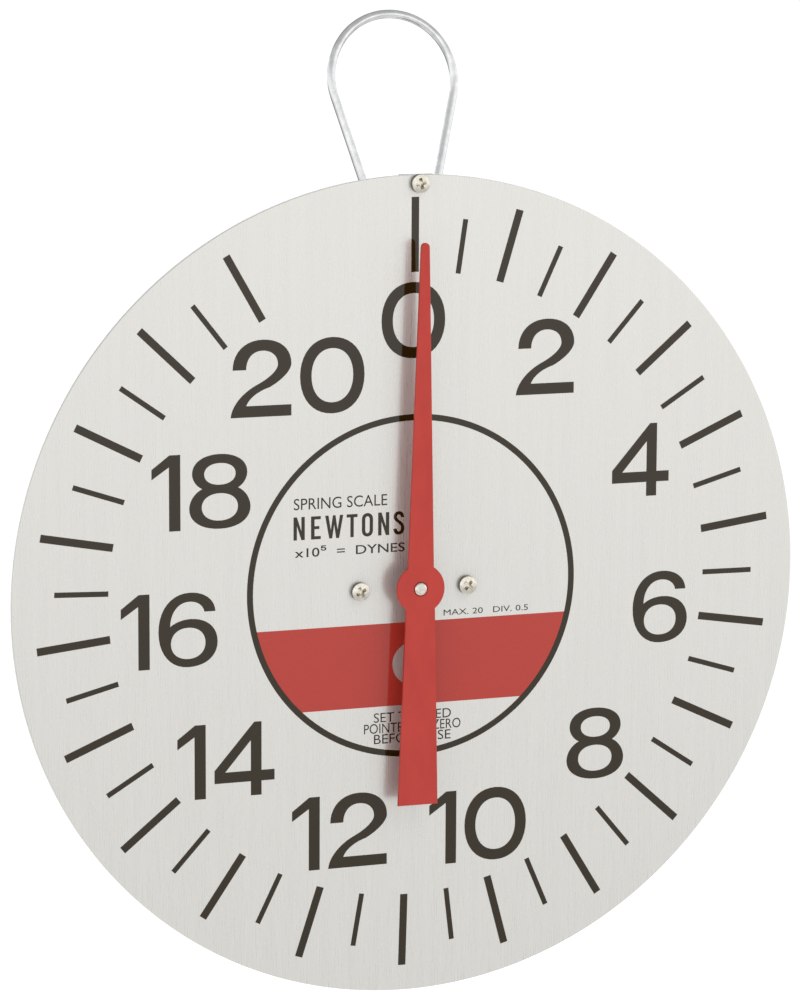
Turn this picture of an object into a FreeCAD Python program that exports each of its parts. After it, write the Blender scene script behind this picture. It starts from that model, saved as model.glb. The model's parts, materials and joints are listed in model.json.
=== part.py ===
import FreeCAD, Part
import math
import os
import Sketcher

# Large-dial hanging spring scale, 0 to 20 newtons, built as a bench assembly.
#
# Every piece is drawn in the dial's own axes: X to the right of someone reading the
# dial, Y away from the reader, Z up, zero at the centre of the dial's front face.
# Each piece's Placement then carries those axes to the row frame, whose origin is the
# hanging point: the underside of the wire at the top of the hanging bail.

V = FreeCAD.Vector
Constraint = Sketcher.Constraint
doc = FreeCAD.newDocument("dial_spring_scale")

# ---------------------------------------------------------------- driving dimensions

DIMS = {
    # dial, a 12 inch disc of 1/16 inch sheet that sits a little low on its screws
    "DialRadius": 152.4, "DialThick": 1.6, "DialBore": 5.5, "DialChamfer": 0.2,
    "DialRight": 0.5, "DialDrop": 1.4,
    "SideScrewAcross": 20.95, "SideScrewDrop": 1.0, "TopScrewRight": 1.5, "TopScrewUp": 147.85,
    "ScrewRadius": 1.75, "ScrewHeadRadius": 3.43, "ScrewHeadTall": 2.3, "ScrewLong": 6.35,
    "ScrewGap": 0.15, "RecessTaper": 12.0,
    # pointer, its hub and its shaft
    "PointerFront": 8.2, "PointerThick": 1.2, "PointerTip": 127.0, "TipHalf": 1.65,
    "BossRadius": 9.3, "ArmHalf": 5.0, "TailHalfTop": 5.65, "TailHalfEnd": 7.75,
    "TailLong": 81.1, "PointerSet": 0.48, "HubRadius": 5.0, "HubBack": 1.0, "ShaftRadius": 2.5,
    "DomeTall": 0.9, "RunGap": 0.04, "JournalRadius": 2.0, "JournalStep": 1.4,
    "ShoulderRadius": 4.0, "ShoulderFront": 0.3, "ShoulderBack": 1.0, "WasherGap": 0.1,
    "CollarRadius": 4.4, "CollarGap": 0.2, "CollarLong": 3.0, "EdgeBreak": 0.3,
    # rack and pinion: 330 degrees of dial for 20 newtons
    "GearModule": 0.8, "PinionTeeth": 12, "PressureAngle": 20.0, "Backlash": 0.06,
    "PinionTip": 0.9, "PinionRoot": 1.15, "RackTip": 0.65, "RackRoot": 1.0, "ToothSink": 0.2,
    "PinionFront": 9.5, "PinionBack": 14.5,
    "RackFront": 10.0, "RackBack": 14.0, "RackEdge": 8.0,
    # bridge plate behind the dial
    "BridgeLong": 54.0, "BridgeTall": 20.0, "BridgeThick": 2.5, "BridgeCorner": 4.0,
    "BushRadius": 4.5, "BushFlange": 6.5, "BushFlangeThick": 1.0,
    # rear housing, a folded steel channel
    "CaseHalf": 19.0, "CaseSheet": 1.6, "CaseBack": 36.0, "CaseHalfTall": 118.0,
    "BendOutside": 2.6, "CapTall": 10.0,
    # tongue of the top cap, which carries the bail
    "TongueHalf": 6.35, "TongueBack": 18.0, "TongueTop": 138.0, "LeafTop": 150.8,
    "LeafThick": 3.0,
    # hanging bail, 1/8 inch wire
    "WireRadius": 1.5875, "LoopRadius": 23.82, "LegAngle": 15.45, "LegReach": 55.35,
    "BendRadius": 3.2, "PinEnd": 2.2, "PinGap": 0.06, "BailTilt": 12.94,
    "PivotBehind": 12.01, "PivotUp": 130.0,
    # spring and its screwed-in plugs
    "SpringWire": 0.6, "SpringCoil": 5.4, "SpringPitch": 1.32, "SpringTurns": 29.6,
    "PlugBoss": 4.7, "PlugFlange": 6.3, "PlugFlangeThick": 2.4, "PlugGrip": 5.0,
    "StudRadius": 2.0, "StudLong": 7.0, "SpringTop": 105.6, "SpringSeat": 0.05,
    # carriage: yoke, rod, stop and hook fork
    "YokeHalf": 10.0, "YokeFront": 9.0, "YokeBack": 15.0, "YokeFoot": -18.0,
    "WindowFoot": -7.5, "WindowHead": 37.0, "WindowLeft": 7.0, "YokeHead": 43.0,
    "NeckHalf": 5.0, "RivetRadius": 1.0, "RivetInset": 4.0, "RivetSink": 1.8,
    "RodRadius": 2.0, "RodTop": -9.5, "RodFoot": -127.5,
    "StopRadius": 5.5, "StopTop": -70.9, "StopFoot": -76.9,
    "GuideRadius": 4.0, "GuideFlange": 5.6, "GuideFlangeThick": 1.5, "SlideGap": 0.06,
    "BufferThick": 1.5, "BufferGap": 0.4, "BushInside": 1.2,
    "NutAcrossFlats": 7.0, "NutTall": 3.0, "ForkRadius": 5.5, "ForkTop": -122.5,
    "ForkRoof": -127.5, "ForkFoot": -137.0, "SlotWidth": 4.0, "HookPinRadius": 1.5,
    "HookPinUp": -132.5, "HookPinLong": 12.4,
    # load hook, bent from wire
    "HookWire": 1.5, "EyeRadius": 4.2, "EyeThick": 3.2, "BowlRadius": 6.0,
    "BowlUp": -148.0, "HookTip": 2.4,
    # small case screws and the rack guide
    "CaseScrewRadius": 1.5, "CaseScrewHead": 2.8, "CaseScrewTall": 1.7,
    "CaseScrewLong": 8.0, "CaseScrewFront": 10.0, "CaseScrewBack": 28.0,
    "GuideGap": 0.07, "PadHalfTall": 7.0, "PadFront": 8.0, "PadBack": 16.0,
}
dim = dict(DIMS)
dim["HangBehind"] = dim["PivotBehind"] + (
    dim["LegReach"] + dim["LoopRadius"] - dim["WireRadius"]
) * math.sin(math.radians(dim["BailTilt"]))
dim["HangUp"] = dim["PivotUp"] + (
    dim["LegReach"] + dim["LoopRadius"] - dim["WireRadius"]
) * math.cos(math.radians(dim["BailTilt"]))

sheet = doc.addObject("Spreadsheet::Sheet", "Dims")
for row, (name, value) in enumerate(dim.items(), 1):
    sheet.set(f"A{row}", name)
    sheet.set(f"B{row}", f"{value:.6g}")
    sheet.setAlias(f"B{row}", name)
doc.recompute()

pieces = []


def value_of(text):
    """The number that an expression in the sheet's names comes to now."""
    return float(sheet.evalExpression(bound(text)))


def bound(text):
    """An expression in bare dimension names, with each name pointed at the sheet."""
    words = ""
    word = ""
    for letter in text + " ":
        if letter.isalnum():
            word += letter
            continue
        words += ("Dims." + word if word in dim else word) + letter
        word = ""
    return words.strip()


# ------------------------------------------------------------------ drawing functions


def place(piece):
    """Carry a piece from the dial's axes to the row frame."""
    piece.setExpression("Placement.Base.y", bound("-HangBehind"))
    piece.setExpression("Placement.Base.z", bound("-HangUp"))


def turn_piece(piece, axis, angle):
    """Turn a piece about an axis through its own origin, in degrees."""
    piece.Placement = FreeCAD.Placement(piece.Placement.Base, FreeCAD.Rotation(axis, 1))
    piece.setExpression("Placement.Rotation.Angle", bound(angle))


def new_body(label):
    body = doc.addObject("PartDesign::Body", label)
    body.Label = label
    place(body)
    pieces.append(body)
    return body


def new_sketch(body, role, offset="0"):
    """A sketch on one of the body's own origin planes, moved along its normal."""
    sketch = body.newObject("Sketcher::SketchObject", body.Label + "_sketch")
    origin = next(f for f in body.Origin.OriginFeatures if f.Role == role)
    sketch.AttachmentSupport = [(origin, "")]
    sketch.MapMode = "FlatFace"
    sketch.setExpression("AttachmentOffset.Base.z", bound(offset))
    return sketch


def bind(sketch, text, *what):
    """Add a constraint whose value is an expression in the sheet's names."""
    index = sketch.addConstraint(Constraint(*what, value_of(text)))
    name = f"size_{index}"
    sketch.renameConstraint(index, name)
    sketch.setExpression("Constraints." + name, bound(text))


def circle(sketch, radius, across="0", up="0"):
    centre = V(value_of(across), value_of(up), 0)
    ring = sketch.addGeometry(Part.Circle(centre, V(0, 0, 1), value_of(radius)))
    bind(sketch, radius, "Radius", ring)
    bind(sketch, across, "DistanceX", ring, 3)
    bind(sketch, up, "DistanceY", ring, 3)


def outline(sketch, corners):
    """A closed outline of straight sides through corners given as expressions."""
    spots = [V(value_of(x), value_of(y), 0) for x, y in corners]
    sides = [
        sketch.addGeometry(Part.LineSegment(a, b))
        for a, b in zip(spots, spots[1:] + spots[:1])
    ]
    for side, (x, y), after in zip(sides, corners, sides[1:] + sides[:1]):
        sketch.addConstraint(Constraint("Coincident", side, 2, after, 1))
        bind(sketch, x, "DistanceX", side, 1)
        bind(sketch, y, "DistanceY", side, 1)


def box_outline(sketch, left, right, foot, head):
    outline(sketch, [(left, foot), (right, foot), (right, head), (left, head)])


def pad(body, sketch, length, away=False):
    """Raise a sketch by length, along its normal or away from it."""
    feature = body.newObject("PartDesign::Pad", body.Label + "_pad")
    feature.Profile = sketch
    feature.setExpression("Length", bound(length))
    feature.Reversed = away
    doc.recompute()
    return feature


def pocket(body, sketch, length, away=False, both=False):
    """Cut a sketch to length, and insist that it removed metal."""
    before = body.Shape.Volume
    feature = body.newObject("PartDesign::Pocket", body.Label + "_pocket")
    feature.Profile = sketch
    feature.setExpression("Length", bound(length))
    feature.Reversed = away
    if both:
        feature.SideType = "Symmetric"
    doc.recompute()
    assert body.Shape.Volume < before - 1e-3, body.Label + ": a pocket cut nothing"
    return feature


def slab(body, left, right, foot, head, front, back):
    """A rectangular block between two depths behind the dial's front face."""
    sketch = new_sketch(body, "XZ_Plane", f"-({front})")
    box_outline(sketch, left, right, foot, head)
    return pad(body, sketch, f"({back}) - ({front})", away=True)


def disc(body, radius, front, back, across="0", up="0", bore=None):
    """A round block, with a bore if one is given, whose axis runs along Y."""
    sketch = new_sketch(body, "XZ_Plane", f"-({front})")
    circle(sketch, radius, across, up)
    if bore:
        circle(sketch, bore, across, up)
    return pad(body, sketch, f"({back}) - ({front})", away=True)


def post(body, radius, foot, head, bore=None):
    """An upright round block on the spring's line."""
    sketch = new_sketch(body, "XY_Plane", foot)
    circle(sketch, radius, "0", "PivotBehind")
    if bore:
        circle(sketch, bore, "0", "PivotBehind")
    return pad(body, sketch, f"({head}) - ({foot})")


def drill_y(body, radius, front, back, across="0", up="0"):
    sketch = new_sketch(body, "XZ_Plane", f"-({front})")
    circle(sketch, radius, across, up)
    return pocket(body, sketch, f"({back}) - ({front})")


def drill_z(body, radius, foot, head):
    sketch = new_sketch(body, "XY_Plane", head)
    circle(sketch, radius, "0", "PivotBehind")
    return pocket(body, sketch, f"({head}) - ({foot})")


def drill_x(body, radius, reach, behind, up):
    """A cross hole through both sides, along X."""
    sketch = new_sketch(body, "YZ_Plane")
    circle(sketch, radius, behind, up)
    return pocket(body, sketch, f"2 * ({reach})", both=True)


def round_edges(body, radius, wanted, kind="Fillet"):
    """Fillet or chamfer the edges of the body's tip that wanted() accepts."""
    base = body.Tip
    names = [f"Edge{n}" for n, edge in enumerate(base.Shape.Edges, 1) if wanted(edge)]
    assert names, body.Label + ": no edge to round"
    feature = body.newObject("PartDesign::" + kind, body.Label + "_" + kind.lower())
    feature.Base = (base, names)
    feature.setExpression("Radius" if kind == "Fillet" else "Size", bound(radius))
    doc.recompute()
    return feature


def along(edge, axis):
    """Whether a straight edge runs along the given axis."""
    if edge.Curve.TypeId != "Part::GeomLine":
        return False
    return abs(edge.Curve.Direction.dot(axis)) > 0.999


def on_circle(edge, radius):
    return edge.Curve.TypeId == "Part::GeomCircle" and abs(edge.Curve.Radius - radius) < 1e-4


def copies(label, master, spots):
    """Several identical solids in one piece: links to one master body."""
    links = []
    for number, placement in enumerate(spots, 1):
        link = doc.addObject("App::Link", f"{label}_{number}")
        link.LinkedObject = master
        link.LinkTransform = False
        link.Placement = placement
        links.append(link)
    group = doc.addObject("Part::Compound", label)
    group.Label = label
    group.Links = links
    place(group)
    pieces.remove(master)
    pieces.append(group)


# --------------------------------------------------------------------------- the bail


def hanging_bail():
    """Right half of the bent wire, from the loop's top to the pin, then mirrored."""
    body = new_body("hanging_bail")
    body.setExpression("Placement.Base.y", bound("-(LoopRadius - WireRadius) * sin(BailTilt)"))
    body.setExpression("Placement.Base.z", bound("-(LoopRadius - WireRadius) * cos(BailTilt)"))
    turn_piece(body, V(1, 0, 0), "-BailTilt")
    loop, bend, drop = dim["LoopRadius"], dim["BendRadius"], dim["LegReach"]
    lean = math.radians(dim["LegAngle"])
    half = (loop - drop * math.sin(lean)) / math.cos(lean)
    pin = half - bend * math.tan((math.pi / 2 - lean) / 2)
    leave = V(loop * math.cos(lean), -loop * math.sin(lean), 0)
    foot = V(pin + bend * math.cos(lean), bend - drop - bend * math.sin(lean), 0)
    path = new_sketch(body, "XZ_Plane")
    up = V(0, 0, 1)
    top = path.addGeometry(Part.ArcOfCircle(Part.Circle(V(), up, loop), -lean, math.pi / 2))
    leg = path.addGeometry(Part.LineSegment(leave, foot))
    corner = Part.Circle(V(pin, bend - drop, 0), up, bend)
    turn = path.addGeometry(Part.ArcOfCircle(corner, -math.pi / 2, -lean))
    stub = path.addGeometry(Part.LineSegment(V(pin, -drop, 0), V(dim["PinEnd"], -drop, 0)))
    path.addConstraint(Constraint("Coincident", top, 3, -1, 1))
    path.addConstraint(Constraint("PointOnObject", top, 2, -2))
    path.addConstraint(Constraint("Tangent", top, 1, leg, 1))
    path.addConstraint(Constraint("Tangent", leg, 2, turn, 2))
    path.addConstraint(Constraint("Tangent", turn, 1, stub, 1))
    path.addConstraint(Constraint("Horizontal", stub))
    bind(path, "LoopRadius", "Radius", top)
    bind(path, "BendRadius", "Radius", turn)
    bind(path, "LoopRadius * cos(LegAngle)", "DistanceX", leg, 1)
    bind(path, "-LegReach", "DistanceY", stub, 2)
    bind(path, "PinEnd", "DistanceX", stub, 2)
    wire = new_sketch(body, "YZ_Plane")
    circle(wire, "WireRadius", "0", "LoopRadius")
    pipe = body.newObject("PartDesign::AdditivePipe", "bail_pipe")
    pipe.Profile = wire
    pipe.Spine = path
    doc.recompute()
    mirrored = body.newObject("PartDesign::Mirrored", "bail_mirrored")
    mirrored.Originals = [pipe]
    side = next(f for f in body.Origin.OriginFeatures if f.Role == "YZ_Plane")
    mirrored.MirrorPlane = (side, [""])
    body.Tip = mirrored
    doc.recompute()


# --------------------------------------------------------------- dial and its pointer


def dial_plate():
    body = new_body("dial_plate")
    sketch = new_sketch(body, "XZ_Plane")
    circle(sketch, "DialRadius", "DialRight", "-DialDrop")
    circle(sketch, "DialBore")
    circle(sketch, "ScrewRadius + ScrewGap", "SideScrewAcross", "-SideScrewDrop")
    circle(sketch, "ScrewRadius + ScrewGap", "-SideScrewAcross", "-SideScrewDrop")
    circle(sketch, "ScrewRadius + ScrewGap", "TopScrewRight", "TopScrewUp")
    pad(body, sketch, "DialThick", away=True)
    round_edges(body, "DialChamfer", lambda e: on_circle(e, dim["DialRadius"]), "Chamfer")


def cross_recess(body, reach, half, top, depth):
    """A cross-shaped driver recess sunk from a screw's head."""
    for wide, tall in ((reach, half), (half, reach)):
        sketch = new_sketch(body, "XY_Plane", top)
        box_outline(sketch, f"-({wide})", wide, f"-({tall})", tall)
        cut = pocket(body, sketch, depth)
        cut.setExpression("TaperAngle", bound("-RecessTaper"))
    doc.recompute()


def pan_head_screw(label, shank, head, tall, length):
    """A pan-head cross-recess screw, its axis on Z and its seat at zero."""
    body = new_body(label)
    sketch = new_sketch(body, "XZ_Plane")
    corners = [("0", f"-{length}"), (shank, f"-{length}"), (shank, "0"), (head, "0")]
    corners += [(head, f"0.6 * {tall}"), (f"0.95 * {head}", f"0.8 * {tall}")]
    corners += [(f"0.75 * {head}", f"0.95 * {tall}"), (f"0.4 * {head}", tall), ("0", tall)]
    outline(sketch, corners)
    turned = body.newObject("PartDesign::Revolution", label + "_turned")
    turned.Profile = sketch
    turned.ReferenceAxis = (sketch, ["V_Axis"])
    turned.Angle = 360
    doc.recompute()
    cross_recess(body, f"0.56 * {head}", f"0.14 * {head}", tall, f"0.7 * {tall}")
    body.Tip = body.Group[-1]
    return body


def dial_screws():
    master = pan_head_screw("dial_screw", "ScrewRadius", "ScrewHeadRadius",
                            "ScrewHeadTall", "ScrewLong")
    across, low = dim["SideScrewAcross"], -dim["SideScrewDrop"]
    top = (dim["TopScrewRight"], dim["TopScrewUp"], 12)
    spots = []
    for x, z, turn in ((-across, low, 28), (across, low, 51), top):
        facing = FreeCAD.Rotation(V(1, 0, 0), 90) * FreeCAD.Rotation(V(0, 0, 1), turn)
        spots.append(FreeCAD.Placement(V(x, 0, z), facing))
    copies("dial_screws", master, spots)


def pointer():
    """Painted sheet pointer: a tapered arm, a round boss and a counterweight tail."""
    body = new_body("pointer")
    back = "-PointerFront + PointerThick"
    sketch = new_sketch(body, "XZ_Plane", "PointerFront")
    outline(sketch, [
        ("-ArmHalf", "0"), ("-TailHalfTop", "-0.5 * BossRadius"),
        ("-TailHalfEnd", "-TailLong"), ("TailHalfEnd", "-TailLong"),
        ("TailHalfTop", "-0.5 * BossRadius"), ("ArmHalf", "0"),
        ("TipHalf", "PointerTip"), ("-TipHalf", "PointerTip"),
    ])
    pad(body, sketch, "PointerThick", away=True)
    disc(body, "BossRadius", "-PointerFront", back)
    drill_y(body, "ShaftRadius + RunGap", "-PointerFront - 1", "-HubBack")
    tip = dim["PointerTip"]
    round_edges(body, "0.95 * TipHalf",
                lambda e: along(e, V(0, 1, 0)) and abs(e.CenterOfMass.z - tip) < 0.01)
    tail = -dim["TailLong"]
    round_edges(body, "0.5 * TipHalf",
                lambda e: along(e, V(0, 1, 0)) and abs(e.CenterOfMass.z - tail) < 0.01)
    turn_piece(body, V(0, 1, 0), "PointerSet")


def pointer_hub():
    """Hub that grips the shaft by friction, turned by hand to set the zero."""
    body = new_body("pointer_hub")
    disc(body, "HubRadius", "-PointerFront + PointerThick", "-HubBack",
         bore="ShaftRadius + RunGap")
    round_edges(body, "EdgeBreak", lambda e: on_circle(e, dim["HubRadius"]), "Chamfer")


def pinion_shaft():
    """Stepped steel shaft along Y: domed nose, shoulder, long journal, rear pivot."""
    body = new_body("pinion_shaft")
    step = "CaseBack - CaseSheet - JournalStep"
    disc(body, "ShaftRadius", "-PointerFront - 0.6 * DomeTall", step)
    disc(body, "ShoulderRadius", "-ShoulderFront", "ShoulderBack")
    disc(body, "JournalRadius", step, "CaseBack - CollarGap")
    nose = -dim["PointerFront"] - 0.6 * dim["DomeTall"]
    round_edges(body, "DomeTall",
                lambda e: on_circle(e, dim["ShaftRadius"]) and abs(e.CenterOfMass.y - nose) < 0.01)


def involute(base, reach, start):
    """A point of the involute of a base circle, at the radius reach."""
    roll = math.sqrt(max((reach / base) ** 2 - 1, 0))
    angle = start + roll - math.atan(roll)
    return reach * math.cos(angle), reach * math.sin(angle)


def pinion():
    """Twelve-tooth brass pinion with involute flanks, one tooth patterned round."""
    body = new_body("pinion")
    teeth, module = int(dim["PinionTeeth"]), dim["GearModule"]
    pitch = module * teeth / 2
    pressure = math.radians(dim["PressureAngle"])
    base = pitch * math.cos(pressure)
    thin = dim["Backlash"] / pitch
    half = math.pi / (2 * teeth) + math.tan(pressure) - pressure - thin
    disc(body, "GearModule * (PinionTeeth / 2 - PinionRoot)", "PinionFront", "PinionBack",
         bore="ShaftRadius")
    tip = pitch + dim["PinionTip"] * module
    steps = [base + (tip - base) * n / 5 for n in range(6)]
    low = [involute(base, reach, -half) for reach in steps]
    foot = pitch - dim["PinionRoot"] * module - dim["ToothSink"] / 2
    foot_half = 0.75 * half  # inside the root disc, where nothing shows
    corners = [(foot * math.cos(foot_half), -foot * math.sin(foot_half))] + low
    corners += [(x, -y) for x, y in reversed(corners)]
    sketch = new_sketch(body, "XZ_Plane", "-PinionFront")
    spots = [V(x, y, 0) for x, y in corners]
    for a, b in zip(spots, spots[1:] + spots[:1]):
        sketch.addGeometry(Part.LineSegment(a, b))
    for n in range(len(spots)):
        sketch.addConstraint(Constraint("Coincident", n, 2, (n + 1) % len(spots), 1))
    tooth = pad(body, sketch, "PinionBack - PinionFront", away=True)
    ring = body.newObject("PartDesign::PolarPattern", "pinion_teeth")
    ring.Originals = [tooth]
    ring.Axis = (sketch, ["N_Axis"])
    ring.Angle = 360
    ring.setExpression("Occurrences", bound("PinionTeeth"))
    body.Tip = ring
    doc.recompute()


def shaft_collar():
    """Pinned collar that keeps the shaft from sliding forward."""
    body = new_body("shaft_collar")
    front = "DialThick + BridgeThick + BushFlangeThick + CollarGap"
    disc(body, "CollarRadius", front, front + " + CollarLong", bore="ShaftRadius")
    round_edges(body, "EdgeBreak", lambda e: on_circle(e, dim["CollarRadius"]), "Chamfer")


def friction_washer():
    """Bronze washer between the pointer's hub and the shaft's shoulder."""
    body = new_body("friction_washer")
    disc(body, "ShoulderRadius", "-HubBack + WasherGap", "-ShoulderFront", bore="ShaftRadius")


# ----------------------------------------------------------------- housing and bridge


def bridge_plate():
    """Steel plate between the dial and the housing; the two dial screws go into it."""
    body = new_body("bridge_plate")
    front, back = "DialThick", "DialThick + BridgeThick"
    slab(body, "-BridgeLong / 2", "BridgeLong / 2", "-BridgeTall / 2", "BridgeTall / 2",
         front, back)
    drill_y(body, "BushRadius", front, back)
    drill_y(body, "ScrewRadius", front, back, "SideScrewAcross", "-SideScrewDrop")
    drill_y(body, "ScrewRadius", front, back, "-SideScrewAcross", "-SideScrewDrop")
    edge = dim["BridgeLong"] / 2
    round_edges(body, "BridgeCorner",
                lambda e: along(e, V(0, 1, 0)) and abs(abs(e.CenterOfMass.x) - edge) < 0.01)


def flanged_bush(label, bore, outside, flange, front, seat, back, flange_first=False):
    """A flanged bearing bush along Y."""
    body = new_body(label)
    if flange_first:
        disc(body, flange, front, seat, bore=bore)
        disc(body, outside, seat, back, bore=bore)
    else:
        disc(body, outside, front, seat, bore=bore)
        disc(body, flange, seat, back, bore=bore)


def bearings():
    seat = "DialThick + BridgeThick"
    flanged_bush("front_bush", "ShaftRadius + RunGap", "BushRadius", "BushFlange",
                 "DialThick", seat, seat + " + BushFlangeThick")
    inner = "CaseBack - CaseSheet"
    flanged_bush("rear_bush", "JournalRadius + RunGap", "GuideRadius", "BushFlange",
                 inner + " - BushInside", inner, "CaseBack", flange_first=True)


def rear_housing():
    """Folded steel channel, open towards the dial, that holds the whole mechanism."""
    body = new_body("rear_housing")
    front = "DialThick + BridgeThick"
    inner = "CaseHalf - CaseSheet"
    web = "CaseBack - CaseSheet"
    sketch = new_sketch(body, "XY_Plane", "-CaseHalfTall")
    outline(sketch, [
        ("-CaseHalf", front), (f"-({inner})", front), (f"-({inner})", web), (inner, web),
        (inner, front), ("CaseHalf", front), ("CaseHalf", "CaseBack"),
        ("-CaseHalf", "CaseBack"),
    ])
    pad(body, sketch, "2 * CaseHalfTall")
    drill_y(body, "GuideRadius", web, "CaseBack")
    for up in ("CaseHalfTall - CapTall / 2", "CapTall / 2 - CaseHalfTall"):
        for behind in ("CaseScrewFront", "CaseScrewBack"):
            drill_x(body, "CaseScrewRadius", "CaseHalf + 1", behind, up)
    sketch = new_sketch(body, "YZ_Plane", "CaseHalf")
    circle(sketch, "CaseScrewRadius", "PivotBehind", "0")
    pocket(body, sketch, "CaseSheet")
    back, side = dim["CaseBack"], dim["CaseHalf"]
    fold_in = dim["CaseSheet"]
    round_edges(body, "BendOutside", lambda e: along(e, V(0, 0, 1)) and
                abs(e.CenterOfMass.y - back) < 0.01 and abs(abs(e.CenterOfMass.x) - side) < 0.01)
    round_edges(body, "BendOutside - CaseSheet", lambda e: along(e, V(0, 0, 1)) and
                abs(e.CenterOfMass.y - back + fold_in) < 0.01 and
                abs(abs(e.CenterOfMass.x) - side + fold_in) < 0.01)


def cap_block(body, foot, head):
    """The part of an end cap that fills the channel, its rear corners eased."""
    inner = "CaseHalf - CaseSheet"
    slab(body, f"-({inner})", inner, foot, head, "DialThick + BridgeThick",
         "CaseBack - CaseSheet")
    back = dim["CaseBack"] - dim["CaseSheet"]
    round_edges(body, "BendOutside - CaseSheet", lambda e: along(e, V(0, 0, 1)) and
                abs(e.CenterOfMass.y - back) < 0.01)


def screw_pilots(body, up):
    for behind in ("CaseScrewFront", "CaseScrewBack"):
        for side, away in (("CaseHalf - CaseSheet", False), ("-CaseHalf + CaseSheet", True)):
            sketch = new_sketch(body, "YZ_Plane", side)
            circle(sketch, "CaseScrewRadius", behind, up)
            pocket(body, sketch, "CaseScrewLong - CaseSheet", away=away)


def top_cap():
    """Cast end cap with a tongue for the bail and a leaf for the dial's top screw."""
    body = new_body("top_cap")
    foot = "CaseHalfTall - CapTall"
    cap_block(body, foot, "CaseHalfTall")
    slab(body, "-TongueHalf", "TongueHalf", foot, "TongueTop", "DialThick", "TongueBack")
    slab(body, "TopScrewRight - TongueHalf", "TopScrewRight + TongueHalf", foot, "LeafTop",
         "DialThick", "DialThick + LeafThick")
    drill_x(body, "WireRadius + PinGap", "TongueHalf + 1", "PivotBehind", "PivotUp")
    drill_y(body, "ScrewRadius", "DialThick", "DialThick + LeafThick", "TopScrewRight",
            "TopScrewUp")
    sketch = new_sketch(body, "XY_Plane", foot)
    circle(sketch, "StudRadius", "0", "PivotBehind")
    pocket(body, sketch, "StudLong", away=True)
    screw_pilots(body, "CaseHalfTall - CapTall / 2")


def bottom_cap():
    body = new_body("bottom_cap")
    cap_block(body, "-CaseHalfTall", "CapTall - CaseHalfTall")
    drill_z(body, "GuideRadius", "-CaseHalfTall", "CapTall - CaseHalfTall")
    screw_pilots(body, "CapTall / 2 - CaseHalfTall")


def case_screws():
    """Eight screws through the channel's sides into the caps, and one for the guide."""
    master = pan_head_screw("case_screw", "CaseScrewRadius", "CaseScrewHead",
                            "CaseScrewTall", "CaseScrewLong")
    level = dim["CaseHalfTall"] - dim["CapTall"] / 2
    side = dim["CaseHalf"]
    seats = [(s, y, z) for s in (-1, 1) for y in (dim["CaseScrewFront"], dim["CaseScrewBack"])
             for z in (level, -level)] + [(1, dim["PivotBehind"], 0)]
    spots = []
    for number, (sign, y, z) in enumerate(seats):
        facing = FreeCAD.Rotation(V(0, 1, 0), 90 * sign)
        twist = FreeCAD.Rotation(V(0, 0, 1), 37 * number)
        spots.append(FreeCAD.Placement(V(sign * side, y, z), facing * twist))
    copies("case_screws", master, spots)


def rack_guide():
    """Nylon pad behind the rack that keeps it in mesh."""
    body = new_body("rack_guide")
    slab(body, "YokeHalf + GuideGap", "CaseHalf - CaseSheet", "-PadHalfTall",
         "PadHalfTall", "PadFront", "PadBack")
    sketch = new_sketch(body, "YZ_Plane", "CaseHalf - CaseSheet")
    circle(sketch, "CaseScrewRadius", "PivotBehind", "0")
    pocket(body, sketch, "CaseScrewLong - CaseSheet")
    inner = dim["YokeHalf"] + dim["GuideGap"]
    round_edges(body, "1", lambda e: along(e, V(0, 1, 0)) and
                abs(e.CenterOfMass.x - inner) < 0.01)


# ------------------------------------------------------------- spring and the carriage


def main_spring():
    """Extension spring: a helix of wire gripped at both ends by the plugs."""
    body = new_body("main_spring")
    foot = "SpringTop - SpringTurns * SpringPitch - SpringWire - SpringSeat"
    sketch = new_sketch(body, "XZ_Plane")
    circle(sketch, "SpringWire", "SpringCoil", foot)
    coil = body.newObject("PartDesign::AdditiveHelix", "main_spring_coil")
    coil.Profile = sketch
    coil.ReferenceAxis = (sketch, ["V_Axis"])
    coil.Mode = "pitch-turns-angle"
    coil.setExpression("Pitch", bound("SpringPitch"))
    coil.setExpression("Turns", bound("SpringTurns"))
    body.setExpression("Placement.Base.y", bound("PivotBehind - HangBehind"))
    doc.recompute()


def spring_plug(label, seat, sign):
    """A plug screwed into the coil's end: boss, flange and threaded stud."""
    body = new_body(label)
    spans = [("PlugBoss", 0, f"{sign * -1} * PlugGrip"),
             ("PlugFlange", 0, f"{sign} * PlugFlangeThick"),
             ("StudRadius", f"{sign} * PlugFlangeThick",
              f"{sign} * (PlugFlangeThick + StudLong)")]
    for radius, start, stop in spans:
        ends = sorted((f"{seat} + {start}", f"{seat} + {stop}"), key=value_of)
        post(body, radius, *ends)


def spring_plugs():
    spring_plug("spring_plug_top", "SpringTop", 1)
    spring_plug("spring_plug_bottom",
                "(SpringTop - SpringTurns * SpringPitch - 2 * (SpringWire + SpringSeat))", -1)


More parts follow.
